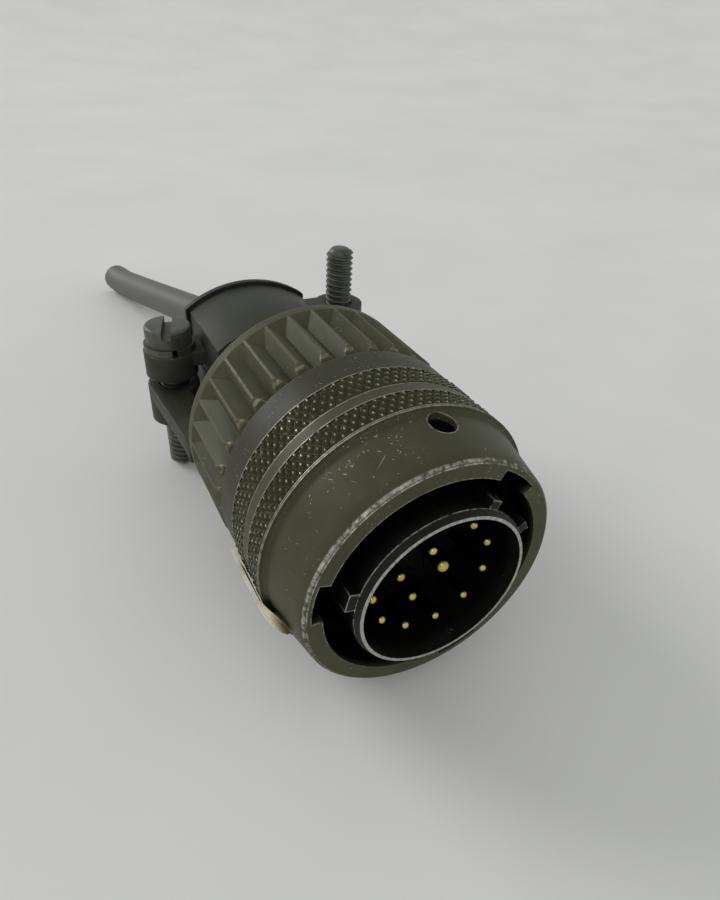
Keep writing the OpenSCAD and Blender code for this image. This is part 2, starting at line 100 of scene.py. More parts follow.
def newFinish(name, **constants):
    material = bpy.data.materials.new(name)
    material.use_nodes = True
    tree = material.node_tree
    tree.nodes.clear()
    shader = addNode(tree, "ShaderNodeBsdfPrincipled", constants)
    addNode(tree, "ShaderNodeOutputMaterial", {"Surface": shader.outputs[0]})
    place = addNode(tree, "ShaderNodeTexCoord", {}).outputs["Object"]
    return material, tree, shader, place


# how far a point lies from the axis of the plug, and where it lies along it
def turnedPlace(tree, place):
    across = addNode(tree, "ShaderNodeVectorMath", {0: place, 1: (0, 1, 1)}, operation="MULTIPLY")
    radius = addNode(tree, "ShaderNodeVectorMath", {0: across.outputs[0]}, operation="LENGTH")
    along = addNode(tree, "ShaderNodeSeparateXYZ", {0: place})
    return radius.outputs["Value"], along.outputs["X"]


# worn aluminium shows in chips on outside edges, most on the upper left where hands reach;
# a lip is a turned edge that is rubbed bright: its radius, its place along the axis, its width
wearSet = {
    "handledSide": (0, -7, 10), "edgeLevels": (0.9, 0.7), "chipSpread": 0.22, "lipSpread": (0.03, 0.3),
    "lipCore": 0.3,
}


def wornEdges(tree, place, look):
    inside = addNode(tree, "ShaderNodeAmbientOcclusion", {"Distance": look["wearMm"] * mm},
                     samples=8, inside=True, only_local=True)
    least, most = wearSet["edgeLevels"]
    edge = addNode(tree, "ShaderNodeMapRange", {
        "Value": inside.outputs["AO"], "From Min": least, "From Max": most, "To Max": look["edgeShare"]})
    chips = addNode(tree, "ShaderNodeTexNoise", {
        "Vector": place, "Scale": 1 / (look["chipMm"] * mm), "Detail": 6, "Roughness": 0.7})
    handled = addNode(tree, "ShaderNodeVectorMath", {
        0: place, 1: wearSet["handledSide"]}, operation="DOT_PRODUCT")
    level = addNode(tree, "ShaderNodeMath", {
        0: handled.outputs["Value"], 1: chips.outputs["Fac"]}, operation="ADD").outputs[0]
    keep = look["wearKeep"]
    chipped = addNode(tree, "ShaderNodeMapRange", {
        "Value": level, "From Min": keep, "From Max": keep + wearSet["chipSpread"]})
    worn = addNode(tree, "ShaderNodeMath", {
        0: edge.outputs[0], 1: chipped.outputs[0]}, operation="MULTIPLY").outputs[0]
    if "lips" not in look:
        return worn
    radius, along = turnedPlace(tree, place)
    spot = addNode(tree, "ShaderNodeCombineXYZ", {0: radius, 1: along})
    least, most = wearSet["lipSpread"]
    rubbed = addNode(tree, "ShaderNodeMapRange", {
        "Value": level, "From Min": keep + least, "From Max": keep + most})
    for radiusMm, alongMm, wideMm in look["lips"]:
        off = addNode(tree, "ShaderNodeVectorMath", {
            0: spot.outputs[0], 1: (radiusMm * mm, alongMm * mm, 0)}, operation="DISTANCE")
        lip = addNode(tree, "ShaderNodeMapRange", {
            "Value": off.outputs["Value"], "From Min": wideMm * mm,
            "From Max": wearSet["lipCore"] * wideMm * mm})
        bright = addNode(tree, "ShaderNodeMath", {
            0: lip.outputs[0], 1: rubbed.outputs[0]}, operation="MULTIPLY")
        worn = addNode(tree, "ShaderNodeMath", {
            0: worn, 1: bright.outputs[0]}, operation="MAXIMUM").outputs[0]
    return worn


# painted shade where light hardly reaches: what lies behind a plane and inside a radius, or inside a cone
# that widens backwards; the paper tape uses the same mask for its real brown glue stain
def paintedShadeAndStainMask(tree, place, deep):
    radius, along = turnedPlace(tree, place)
    behind = addNode(tree, "ShaderNodeMapRange", {
        "Value": along, "From Min": deep["fromMm"] * mm, "From Max": deep["toMm"] * mm})
    fromCone = addNode(tree, "ShaderNodeMath", {
        0: along, 1: deep.get("widens", 0.0), 2: radius}, operation="MULTIPLY_ADD")
    within = addNode(tree, "ShaderNodeMath", {
        0: fromCone.outputs[0], 1: deep["radiusMm"] * mm}, operation="LESS_THAN")
    shade = addNode(tree, "ShaderNodeMath", {
        0: behind.outputs[0], 1: within.outputs[0]}, operation="MULTIPLY")
    return shade.outputs[0]


# short fine scratches in two slanting directions: noise drawn out into streaks, seen in patches
scratchSet = {
    "turns": ((0, -0.3, 0.58), (0, 0.44, -0.98)), "wideMm": 0.12, "patchMm": 5, "patchLevels": (0.48, 0.6),
    "lineSpread": 0.05,
}


def scratchLines(tree, place, lengthMm, keep):
    patch = addNode(tree, "ShaderNodeTexNoise", {
        "Vector": place, "Scale": 1 / (scratchSet["patchMm"] * mm), "Detail": 1})
    least, most = scratchSet["patchLevels"]
    shown = addNode(tree, "ShaderNodeMapRange", {
        "Value": patch.outputs["Fac"], "From Min": least, "From Max": most}).outputs[0]
    wide = scratchSet["wideMm"] * mm
    lines = 0.0
    for turn in scratchSet["turns"]:
        drawn = addNode(tree, "ShaderNodeMapping", {
            "Vector": place, "Rotation": turn, "Scale": (lengthMm * mm, wide, wide)}, vector_type="TEXTURE")
        streak = addNode(tree, "ShaderNodeTexNoise", {
            "Vector": drawn.outputs[0], "Scale": 1.0, "Detail": 1})
        line = addNode(tree, "ShaderNodeMapRange", {
            "Value": streak.outputs["Fac"], "From Min": keep, "From Max": keep + scratchSet["lineSpread"]})
        lines = addNode(tree, "ShaderNodeMath", {
            0: line.outputs[0], 1: lines}, operation="MAXIMUM").outputs[0]
    return addNode(tree, "ShaderNodeMath", {0: lines, 1: shown}, operation="MULTIPLY").outputs[0]


# chromated aluminium, olive drab: a thin satin film, greyer where handled, bare on its edges;
# each pair of levels says where a pattern starts to show and where it shows fully
oliveSet = {
    "specular": 0.2, "blotchLevels": (0.35, 0.68), "grimeAndShadeLevels": (0.75, 0.25), "grimeAndShadeColour": "#16160f",
    "rubLevels": (0.38, 0.68), "brushMm": 0.5, "brushLevels": (0.36, 0.58), "brushLeast": 0.45,
    "speckMm": 0.45, "speckLevels": (0.74, 0.78), "speckShare": 0.6, "shineLevels": (0.3, 0.7),
    "shineSpread": 0.07, "metalShare": 0.75, "grainMm": 0.22, "bareSinks": -0.8, "reliefMm": 0.03,
}


def oliveFinish(name, look):
    material, tree, shader, place = newFinish(name, **{"Specular IOR Level": oliveSet["specular"]})
    blotch = addNode(tree, "ShaderNodeTexNoise", {
        "Vector": place, "Scale": 1 / (look["blotchMm"] * mm), "Detail": 5, "Roughness": 0.6})
    least, most = oliveSet["blotchLevels"]
    spread = addNode(tree, "ShaderNodeMapRange", {
        "Value": blotch.outputs["Fac"], "From Min": least, "From Max": most})
    colour = addNode(tree, "ShaderNodeMix", {
        0: spread.outputs[0], 6: toLinear(look["film"]), 7: toLinear(look["faded"])},
        data_type="RGBA").outputs[2]
    radius, along = turnedPlace(tree, place)
    if "band" in look:
        band = look["band"]
        inBand = addNode(tree, "ShaderNodeMath", {
            0: along, 1: band["middleMm"] * mm, 2: band["halfMm"] * mm}, operation="COMPARE")
        share = addNode(tree, "ShaderNodeMath", {
            0: inBand.outputs[0], 1: band["share"]}, operation="MULTIPLY")
        colour = addNode(tree, "ShaderNodeMix", {
            0: share.outputs[0], 6: colour, 7: toLinear(band["colour"])}, data_type="RGBA").outputs[2]
    # dirt and painted shade: the colour darkens towards the grime colour where nearby surfaces close in, in
    # corners, grooves, valleys and holes
    corner = addNode(tree, "ShaderNodeAmbientOcclusion", {"Distance": look["grimeAndShadeMm"] * mm}, samples=6)
    least, most = oliveSet["grimeAndShadeLevels"]
    grimeAndShade = addNode(tree, "ShaderNodeMapRange", {
        "Value": corner.outputs["AO"], "From Min": least, "From Max": most, "To Max": look["grimeAndShade"]})
    colour = addNode(tree, "ShaderNodeMix", {
        0: grimeAndShade.outputs[0], 6: colour, 7: toLinear(oliveSet["grimeAndShadeColour"])}, data_type="RGBA").outputs[2]
    worn = wornEdges(tree, place, look)
    # the knurl's tips: rubbed bare, and painted bright where glints would fall
    if "tips" in look:
        tips = look["tips"]
        tip = addNode(tree, "ShaderNodeMapRange", {
            "Value": radius, "From Min": tips["fromMm"] * mm, "From Max": tips["toMm"] * mm})
        rubs = addNode(tree, "ShaderNodeTexNoise", {
            "Vector": place, "Scale": 1 / (tips["rubMm"] * mm), "Detail": 3})
        least, most = oliveSet["rubLevels"]
        rubbed = addNode(tree, "ShaderNodeMapRange", {
            "Value": rubs.outputs["Fac"], "From Min": least, "From Max": most})
        bright = addNode(tree, "ShaderNodeMath", {
            0: tip.outputs[0], 1: rubbed.outputs[0]}, operation="MULTIPLY")
        worn = addNode(tree, "ShaderNodeMath", {
            0: worn, 1: bright.outputs[0]}, operation="MAXIMUM").outputs[0]
    if "rimMm" in look:
        brushed = addNode(tree, "ShaderNodeTexNoise", {
            "Vector": place, "Scale": 1 / (oliveSet["brushMm"] * mm), "Detail": 6, "Roughness": 0.75})
        least, most = oliveSet["brushLevels"]
        shown = addNode(tree, "ShaderNodeMapRange", {
            "Value": brushed.outputs["Fac"], "From Min": least, "From Max": most,
            "To Min": oliveSet["brushLeast"]})
        ahead = addNode(tree, "ShaderNodeMath", {
            0: along, 1: look["rimMm"] * mm}, operation="GREATER_THAN")
        rim = addNode(tree, "ShaderNodeMath", {
            0: shown.outputs[0], 1: ahead.outputs[0]}, operation="MULTIPLY")
        worn = addNode(tree, "ShaderNodeMath", {
            0: worn, 1: rim.outputs[0]}, operation="MAXIMUM").outputs[0]
    lines = scratchLines(tree, place, look["scratchMm"], look["scratchKeep"])
    specks = addNode(tree, "ShaderNodeTexNoise", {
        "Vector": place, "Scale": 1 / (oliveSet["speckMm"] * mm), "Detail": 2, "Roughness": 0.5})
    least, most = oliveSet["speckLevels"]
    dots = addNode(tree, "ShaderNodeMapRange", {
        "Value": specks.outputs["Fac"], "From Min": least, "From Max": most,
        "To Max": oliveSet["speckShare"]})
    marks = addNode(tree, "ShaderNodeMath", {0: lines, 1: dots.outputs[0]}, operation="MAXIMUM")
    bare = addNode(tree, "ShaderNodeMath", {
        0: worn, 1: marks.outputs[0]}, operation="MAXIMUM").outputs[0]
    # painted shade in deep places: the colour turns to the deep colour and the wear there is hidden
    if "deep" in look:
        shade = paintedShadeAndStainMask(tree, place, look["deep"])
        colour = addNode(tree, "ShaderNodeMix", {
            0: shade, 6: colour, 7: toLinear(look["deep"]["colour"])}, data_type="RGBA").outputs[2]
        lit = addNode(tree, "ShaderNodeMath", {0: 1.0, 1: shade}, operation="SUBTRACT")
        bare = addNode(tree, "ShaderNodeMath", {0: bare, 1: lit.outputs[0]}, operation="MULTIPLY").outputs[0]
    paint = addNode(tree, "ShaderNodeMix", {
        0: bare, 6: colour, 7: toLinear(look["bare"])}, data_type="RGBA")
    least, most = oliveSet["shineLevels"]
    shine = addNode(tree, "ShaderNodeMapRange", {
        "Value": blotch.outputs["Fac"], "From Min": least, "From Max": most,
        "To Min": look["rough"] - oliveSet["shineSpread"], "To Max": look["rough"] + oliveSet["shineSpread"]})
    metal = addNode(tree, "ShaderNodeMath", {0: bare, 1: oliveSet["metalShare"]}, operation="MULTIPLY")
    grain = addNode(tree, "ShaderNodeTexNoise", {
        "Vector": place, "Scale": 1 / (oliveSet["grainMm"] * mm), "Detail": 3})
    lift = addNode(tree, "ShaderNodeMath", {
        0: bare, 1: oliveSet["bareSinks"], 2: grain.outputs["Fac"]}, operation="MULTIPLY_ADD")
    bump = addNode(tree, "ShaderNodeBump", {
        "Height": lift.outputs[0], "Strength": look["grain"], "Distance": oliveSet["reliefMm"] * mm})
    tree.links.new(paint.outputs[2], shader.inputs["Base Color"])
    tree.links.new(shine.outputs[0], shader.inputs["Roughness"])
    tree.links.new(metal.outputs[0], shader.inputs["Metallic"])
    tree.links.new(bump.outputs[0], shader.inputs["Normal"])
    return material


# one even material with soft tone changes, for moulded rubber and plastic, plated pins and steel
evenSet = {
    "cloudLevels": (0.35, 0.65), "grimeAndShadeLevels": (0.8, 0.25), "shineLevels": (0.3, 0.7), "shineSpread": 0.06,
    "reliefMm": 0.03,
}


def evenFinish(name, look):
    material, tree, shader, place = newFinish(name, **look["constants"])
    cloud = addNode(tree, "ShaderNodeTexNoise", {
        "Vector": place, "Scale": 1 / (look["cloudMm"] * mm), "Detail": 4, "Roughness": 0.6})
    least, most = evenSet["cloudLevels"]
    spread = addNode(tree, "ShaderNodeMapRange", {
        "Value": cloud.outputs["Fac"], "From Min": least, "From Max": most})
    # dirt and painted shade: the tone darkens towards the dirt colour where nearby surfaces close in, in
    # threads, folds and corners
    corner = addNode(tree, "ShaderNodeAmbientOcclusion", {"Distance": look["grimeAndShadeMm"] * mm}, samples=4)
    least, most = evenSet["grimeAndShadeLevels"]
    grimeAndShade = addNode(tree, "ShaderNodeMapRange", {
        "Value": corner.outputs["AO"], "From Min": least, "From Max": most, "To Max": look["grimeAndShade"]})
    tone = addNode(tree, "ShaderNodeMix", {
        0: spread.outputs[0], 6: toLinear(look["dark"]), 7: toLinear(look["light"])}, data_type="RGBA")
    paint = addNode(tree, "ShaderNodeMix", {
        0: grimeAndShade.outputs[0], 6: tone.outputs[2], 7: toLinear(look["dirtAndShadeColour"])}, data_type="RGBA").outputs[2]
    least, most = evenSet["shineLevels"]
    shine = addNode(tree, "ShaderNodeMapRange", {
        "Value": cloud.outputs["Fac"], "From Min": least, "From Max": most,
        "To Min": look["rough"] - evenSet["shineSpread"], "To Max": look["rough"] + evenSet["shineSpread"]})
    grain = addNode(tree, "ShaderNodeTexNoise", {
        "Vector": place, "Scale": 1 / (look["grainMm"] * mm), "Detail": 2})
    bump = addNode(tree, "ShaderNodeBump", {
        "Height": grain.outputs["Fac"], "Strength": look["grain"], "Distance": evenSet["reliefMm"] * mm})
    # painted shade in deep places, and on the paper tape a real glue stain, towards the deep colour
    if "deep" in look:
        paint = addNode(tree, "ShaderNodeMix", {
            0: paintedShadeAndStainMask(tree, place, look["deep"]), 6: paint, 7: toLinear(look["deep"]["colour"])},
            data_type="RGBA").outputs[2]
    tree.links.new(paint, shader.inputs["Base Color"])
    tree.links.new(shine.outputs[0], shader.inputs["Roughness"])
    tree.links.new(bump.outputs[0], shader.inputs["Normal"])
    return material


ringLook = {
    "film": "#42422f", "faded": "#4d4d39", "bare": "#d6d4c8", "blotchMm": 5, "grimeAndShadeMm": 1.2,
    "grimeAndShade": 0.85, "wearMm": 0.16, "edgeShare": 0.6, "chipMm": 0.6, "wearKeep": 0.5,
    "scratchMm": 8, "scratchKeep": 0.73, "rough": 0.45, "grain": 0.25,
    "lips": ((13.0, -1.8, 0.1), (13.22, -2.02, 0.24)),
    "band": {"middleMm": -18.3, "halfMm": 1.9, "share": 0.8, "colour": "#313123"},
    # painted shade: the walls of the holes inside the lip go nearly black
    "deep": {"fromMm": -1.9, "toMm": -2.6, "radiusMm": 13.06, "widens": 0.077, "colour": "#0a0a07"},
}
nutLook = {
    "film": "#424330", "faded": "#4f503a", "bare": "#a0967f", "blotchMm": 4, "grimeAndShadeMm": 1.4,
    "grimeAndShade": 0.55, "wearMm": 0.28, "edgeShare": 1.0, "chipMm": 0.5, "wearKeep": 0.5,
    "scratchMm": 5, "scratchKeep": 0.74, "rough": 0.5, "grain": 0.3,
    "lips": ((14.75, -21.3, 0.35),),
}
clampLook = {
    "film": "#34362c", "faded": "#3e4035", "bare": "#8f8e83", "blotchMm": 4, "grimeAndShadeMm": 1.6,
    "grimeAndShade": 0.65, "wearMm": 0.25, "edgeShare": 1.0, "chipMm": 0.7, "wearKeep": 0.6,
    "scratchMm": 5, "scratchKeep": 0.75, "rough": 0.52, "grain": 0.35,
}
knurlLook = {
    "film": "#303118", "faded": "#3d3e22", "bare": "#d3d0ba", "blotchMm": 4, "grimeAndShadeMm": 0.5,
    "grimeAndShade": 0.85, "wearMm": 0.08, "edgeShare": 1.0, "chipMm": 1.4, "wearKeep": 0.75,
    "scratchMm": 2, "scratchKeep": 0.8, "rough": 0.36, "grain": 0.1,
    "tips": {"fromMm": 14.93, "toMm": 15.02, "rubMm": 0.5},
}
shellLook = {
    "film": "#14140f", "faded": "#1d1d17", "bare": "#c6c5bb", "blotchMm": 4, "grimeAndShadeMm": 1.2,
    "grimeAndShade": 0.5, "wearMm": 0.14, "edgeShare": 1.0, "chipMm": 0.4, "wearKeep": 0.45,
    "scratchMm": 4, "scratchKeep": 0.75, "rough": 0.42, "grain": 0.2,
    "rimMm": -0.03, "lips": ((9.05, -0.7, 0.09), (8.7, 0, 0.07)),
    # painted shade: the barrel behind the rim goes nearly black and keeps no wear
    "deep": {"fromMm": -0.9, "toMm": -1.9, "radiusMm": 30, "colour": "#080806"},
}
goldLook = {
    "constants": {"Metallic": 1.0}, "dark": "#b5a04a", "light": "#dccb7c", "dirtAndShadeColour": "#4d431c",
    "cloudMm": 1.2, "grimeAndShadeMm": 0.4, "grimeAndShade": 0.4, "rough": 0.22, "grainMm": 0.2, "grain": 0.05,
    # painted shade: the pins darken from the top of the ball down to their feet
    "deep": {"fromMm": -2.0, "toMm": -2.7, "radiusMm": 30, "colour": "#1c1405"},
}
insertLook = {
    "constants": {"IOR": 1.52}, "dark": "#0b0b0a", "light": "#151513", "dirtAndShadeColour": "#050505",
    "cloudMm": 3, "grimeAndShadeMm": 1, "grimeAndShade": 0.5, "rough": 0.14, "grainMm": 0.5, "grain": 0.08,
}
rubberLook = {
    "constants": {"IOR": 1.5}, "dark": "#141413", "light": "#232321", "dirtAndShadeColour": "#0a0a09",
    "cloudMm": 2, "grimeAndShadeMm": 1, "grimeAndShade": 0.5, "rough": 0.6, "grainMm": 0.3, "grain": 0.3,
}
grommetLook = {
    "constants": {"IOR": 1.45}, "dark": "#5d3122", "light": "#71412f", "dirtAndShadeColour": "#2a150e",
    "cloudMm": 2, "grimeAndShadeMm": 1, "grimeAndShade": 0.5, "rough": 0.55, "grainMm": 0.3, "grain": 0.2,
}
cableLook = {
    "constants": {"IOR": 1.52}, "dark": "#4d4d4a", "light": "#595956", "dirtAndShadeColour": "#2c2c29",
    "cloudMm": 6, "grimeAndShadeMm": 2, "grimeAndShade": 0.4, "rough": 0.5, "grainMm": 0.4, "grain": 0.2,
}
wireLook = {
    "constants": {"IOR": 1.45}, "dark": "#8a8578", "light": "#a8a396", "dirtAndShadeColour": "#4a463c",
    "cloudMm": 3, "grimeAndShadeMm": 1, "grimeAndShade": 0.4, "rough": 0.4, "grainMm": 0.4, "grain": 0.1,
}
screwLook = {
    "constants": {"Metallic": 0.5}, "dark": "#4e5047", "light": "#62645a", "dirtAndShadeColour": "#22221c",
    "cloudMm": 1.6, "grimeAndShadeMm": 0.7, "grimeAndShade": 0.45, "rough": 0.46, "grainMm": 0.15, "grain": 0.25,
}
springLook = {
    "constants": {"Metallic": 1.0}, "dark": "#8f8f8a", "light": "#b0b0aa", "dirtAndShadeColour": "#3a3a36",
    "cloudMm": 2, "grimeAndShadeMm": 0.8, "grimeAndShade": 0.6, "rough": 0.35, "grainMm": 0.2, "grain": 0.1,
}
paperLook = {
    "constants": {"IOR": 1.45}, "dark": "#d2c7a6", "light": "#efe9d6", "dirtAndShadeColour": "#6b5126",
    "cloudMm": 3, "grimeAndShadeMm": 0.6, "grimeAndShade": 0.6, "rough": 0.85, "grainMm": 0.25, "grain": 0.5,
    # a real brown glue stain towards the front end of the strip, drawn with the same mask
    "deep": {"fromMm": -6.6, "toMm": -4.8, "radiusMm": 30, "colour": "#5c4c1c"},
}
copperLook = {
    "constants": {"Metallic": 1.0}, "dark": "#8d5a3a", "light": "#b9794f", "dirtAndShadeColour": "#3c2415",
    "cloudMm": 0.5, "grimeAndShadeMm": 0.5, "grimeAndShade": 0.5, "rough": 0.4, "grainMm": 0.1, "grain": 0.3,
}
finishes = {
    "ring": oliveFinish("oliveChromateRing", ringLook),        # satin olive film, its front lip rubbed bright
    "nut": oliveFinish("oliveChromateNut", nutLook),           # a little paler, its ridge ends rubbed
    "clamp": oliveFinish("oliveChromateClamp", clampLook),     # on castings: duller, darker and greyer
    "knurl": oliveFinish("oliveChromateKnurl", knurlLook),     # grime and painted shade between the diamonds; tips rubbed bare and painted bright for glints
    "shell": oliveFinish("darkChromateShell", shellLook),      # nearly black, bare and brushed on the rim
    "gold": evenFinish("goldPlatedCopper", goldLook),          # warm mirror-like pins, painted shade down to their feet
    "insert": evenFinish("blackMouldedPlastic", insertLook),   # deep black with a soft gloss
    "rubber": evenFinish("blackMouldedRubber", rubberLook),    # black, dull, a little dusty
    "grommet": evenFinish("brownSiliconeRubber", grommetLook), # dull reddish brown
    "cable": evenFinish("greyExtrudedVinyl", cableLook),       # even grey with a low sheen
    "wire": evenFinish("whiteExtrudedInsulation", wireLook),   # off-white with a waxy sheen
    "screw": evenFinish("dullPlatedSteel", screwLook),         # grey steel, with grime and painted shade in its threads
    "spring": evenFinish("brightSpringSteel", springLook),     # clean light steel
    "paper": evenFinish("paperTape", paperLook),               # cream paper, brown where glue shows
    "copper": evenFinish("strandedCopper", copperLook),        # dull orange strands
}
print("finishes made:", len(finishes))

# angles past which an edge stays sharp, and how close points are when they are merged
meshSet = {"turnedDeg": 35, "castDeg": 50, "paperDeg": 40, "sheetDeg": 60, "mergeMm": 0.002, "poleMm": 0.0005}


def addPiece(name, mesh, finish, body):
    piece = bpy.data.objects.new(name, mesh)
    scene.collection.objects.link(piece)
    mesh.materials.clear()
    mesh.materials.append(finishes[finish])
    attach(piece, body)
    return piece


def plainMesh(name, work):
    mesh = bpy.data.meshes.new(name)
    work.to_mesh(mesh)
    work.free()
    if "custom_normal" in mesh.attributes:
        mesh.attributes.remove(mesh.attributes["custom_normal"])
    return mesh


def smoothShade(mesh, sharpDeg):
    for face in mesh.polygons:
        face.use_smooth = True
    mesh.set_sharp_from_angle(angle=math.radians(sharpDeg))


# the free cable, along the route of its solid
cableSet = {
    "exitMm": -56.0,
    "stepsMm": [
        (0, 0, 0), (-4, -0.2, -0.3), (-9, -0.8, -1), (-16, -1.9, -2.4), (-25, -3.3, -4.3),
        (-34, -4.7, -6.2), (-43, -6.1, -8.1), (-52, -7.4, -10), (-59, -8.5, -11.4), (-65, -9.4, -12.1)],
    "diameterMm": 5.6, "betweenPoints": 4, "roundness": 6,
    "wireRingsMm": ((0.95, 5), (2.0, 10)), "wireSides": 12,
    "sleeveMm": 0.4, "sleeveProudMm": 0.5, "strandMm": 0.22, "strandProudMm": 0.9,
}


def smoothRoute(points, between):
    route = []
    last = len(points) - 1
    for i in range(last):
        before, start, end, after = [points[min(max(k, 0), last)] for k in (i - 1, i, i + 1, i + 2)]
        for k in range(between):
            t = k / between
            leave = (end - before) / 2
            arrive = (after - start) / 2
            bend = 3 * (end - start) - 2 * leave - arrive
            close = 2 * (start - end) + leave + arrive
            route.append(start + leave * t + bend * t ** 2 + close * t ** 3)
    return route + [points[-1]]


# the cut end shows the wires in two rings, each a pale sleeve round a copper strand
def wireEnds(name, end, along, radiusMm, proudMm, finish):
    facing = Matrix.Translation(end) @ along.to_track_quat("Z", "Y").to_matrix().to_4x4()
    work = bmesh.new()
    for ringMm, count in cableSet["wireRingsMm"]:
        for k in range(count):
            turn = math.tau * k / count
            spot = Vector((ringMm * math.cos(turn), ringMm * math.sin(turn), 0)) * mm
            bmesh.ops.create_cone(
                work, cap_ends=True, segments=cableSet["wireSides"], radius1=radiusMm * mm,
                radius2=radiusMm * mm, depth=2 * proudMm * mm, matrix=facing @ Matrix.Translation(spot))
    return addPiece(name, plainMesh(name, work), finish, "clamp")


def makeCable():
    exitPoint = Vector((cableSet["exitMm"] * mm, 0, 0))
    points = [exitPoint + Vector(step) * mm for step in cableSet["stepsMm"]]
    route = smoothRoute(points, cableSet["betweenPoints"])
    curve = bpy.data.curves.new("cableTail", "CURVE")
    curve.dimensions = "3D"
    curve.bevel_depth = cableSet["diameterMm"] / 2 * mm
    curve.bevel_resolution = cableSet["roundness"]
    curve.use_fill_caps = True
    spline = curve.splines.new("POLY")
    spline.points.add(len(route) - 1)
    for point, spot in zip(spline.points, route):
        point.co = (*spot, 1)
    spline.use_smooth = True
    length = sum((b - a).length for a, b in zip(route, route[1:]))
    cable = bpy.data.objects.new("cableTail", curve)
    scene.collection.objects.link(cable)
    curve.materials.append(finishes["cable"])
    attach(cable, "clamp")
    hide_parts("cable_tail")
    along = route[-1] - route[-2]
    sleeves = wireEnds("wireSleeves", route[-1], along, cableSet["sleeveMm"], cableSet["sleeveProudMm"],
                       "wire")
    strands = wireEnds("wireStrands", route[-1], along, cableSet["strandMm"], cableSet["strandProudMm"],
                       "copper")
    return length


print("cable laid,", round(makeCable() / mm, 1), "mm")

# CAD nodes that keep their own shape: node, finish
plainNodes = {
    "plug_shell": "shell", "thrust_washer": "spring", "retaining_ring": "spring", "pin_insert": "insert",
    "wire_grommet": "grommet", "grommet_ferrule": "clamp", "power_pin": "gold",
    "left_lock_washer": "screw", "right_lock_washer": "screw", "cable_bushing": "rubber",
    "cable_core": "cable",
}
plainNodes.update({name: "gold" for name in nodes if name.startswith("contact_pin")})
for name, finish in plainNodes.items():
    nodes[name].data.materials.clear()
    nodes[name].data.materials.append(finishes[finish])
print("nodes finished:", len(plainNodes))

# two bands of diamond knurling, as rows of low pyramids: each band's front edge and its width
knurlSet = {
    "Around": 96,
    "Rows": 4,
    "Ground": 14.68 * mm,
    "Height": 0.34 * mm,
    "Flat Tip": 0.1,
    "bandsMm": {"frontKnurl": (-8.6, 3.0), "rearKnurl": (-13.0, 3.3)},
}


def knurlTree():
    tree = bpy.data.node_groups.new("knurlBand", "GeometryNodeTree")
    sockets = {"Around": "NodeSocketInt", "Rows": "NodeSocketInt", "Row Step": "NodeSocketFloat",
               "Ground": "NodeSocketFloat", "Height": "NodeSocketFloat", "Flat Tip": "NodeSocketFloat",
               "First Row": "NodeSocketFloat", "Finish": "NodeSocketMaterial"}
    for name, kind in sockets.items():
        tree.interface.new_socket(name, in_out="INPUT", socket_type=kind)
    tree.interface.new_socket("Band", in_out="OUTPUT", socket_type="NodeSocketGeometry")
    given = addNode(tree, "NodeGroupInput", {}).outputs
    total = addNode(tree, "ShaderNodeMath", {0: given["Around"], 1: given["Rows"]}, operation="MULTIPLY")
    dots = addNode(tree, "GeometryNodePoints", {"Count": total.outputs[0]})
    index = addNode(tree, "GeometryNodeInputIndex", {}).outputs[0]
    share = addNode(tree, "ShaderNodeMath", {0: index, 1: given["Around"]}, operation="DIVIDE")
    row = addNode(tree, "ShaderNodeMath", {0: share.outputs[0]}, operation="FLOOR").outputs[0]
    shift = addNode(tree, "ShaderNodeMath", {0: row, 1: 2.0}, operation="MODULO")
    half = addNode(tree, "ShaderNodeMath", {
        0: shift.outputs[0], 1: 0.5, 2: index}, operation="MULTIPLY_ADD")
    turn = addNode(tree, "ShaderNodeMath", {0: half.outputs[0], 1: given["Around"]}, operation="DIVIDE")
    angle = addNode(tree, "ShaderNodeMath", {
        0: turn.outputs[0], 1: math.tau}, operation="MULTIPLY").outputs[0]
    back = addNode(tree, "ShaderNodeMath", {0: row, 1: given["Row Step"]}, operation="MULTIPLY")
    along = addNode(tree, "ShaderNodeMath", {
        0: given["First Row"], 1: back.outputs[0]}, operation="SUBTRACT")
    sine = addNode(tree, "ShaderNodeMath", {0: angle}, operation="SINE")
    cosine = addNode(tree, "ShaderNodeMath", {0: angle}, operation="COSINE")
    right = addNode(tree, "ShaderNodeMath", {
        0: sine.outputs[0], 1: given["Ground"]}, operation="MULTIPLY")
    up = addNode(tree, "ShaderNodeMath", {
        0: cosine.outputs[0], 1: given["Ground"]}, operation="MULTIPLY")
    spot = addNode(tree, "ShaderNodeCombineXYZ", {
        0: along.outputs[0], 1: right.outputs[0], 2: up.outputs[0]})
    placed = addNode(tree, "GeometryNodeSetPosition", {
        "Geometry": dots.outputs[0], "Position": spot.outputs[0]})
    tip = addNode(tree, "GeometryNodeMeshCone", {
        "Vertices": 4, "Radius Top": given["Flat Tip"], "Radius Bottom": 1.0, "Depth": given["Height"]},
        fill_type="NGON")
    halfAround = addNode(tree, "ShaderNodeMath", {0: given["Ground"], 1: math.pi}, operation="MULTIPLY")
    wide = addNode(tree, "ShaderNodeMath", {
        0: halfAround.outputs[0], 1: given["Around"]}, operation="DIVIDE")
    size = addNode(tree, "ShaderNodeCombineXYZ", {0: given["Row Step"], 1: wide.outputs[0], 2: 1.0})
    lean = addNode(tree, "ShaderNodeMath", {0: angle, 1: -1.0}, operation="MULTIPLY")
    facing = addNode(tree, "ShaderNodeCombineXYZ", {0: lean.outputs[0]})
    many = addNode(tree, "GeometryNodeInstanceOnPoints", {
        "Points": placed.outputs[0], "Instance": tip.outputs[0], "Rotation": facing.outputs[0],
        "Scale": size.outputs[0]})
    real = addNode(tree, "GeometryNodeRealizeInstances", {0: many.outputs[0]})
    done = addNode(tree, "GeometryNodeSetMaterial", {0: real.outputs[0], "Material": given["Finish"]})
    addNode(tree, "NodeGroupOutput", {"Band": done.outputs[0]})
    return tree


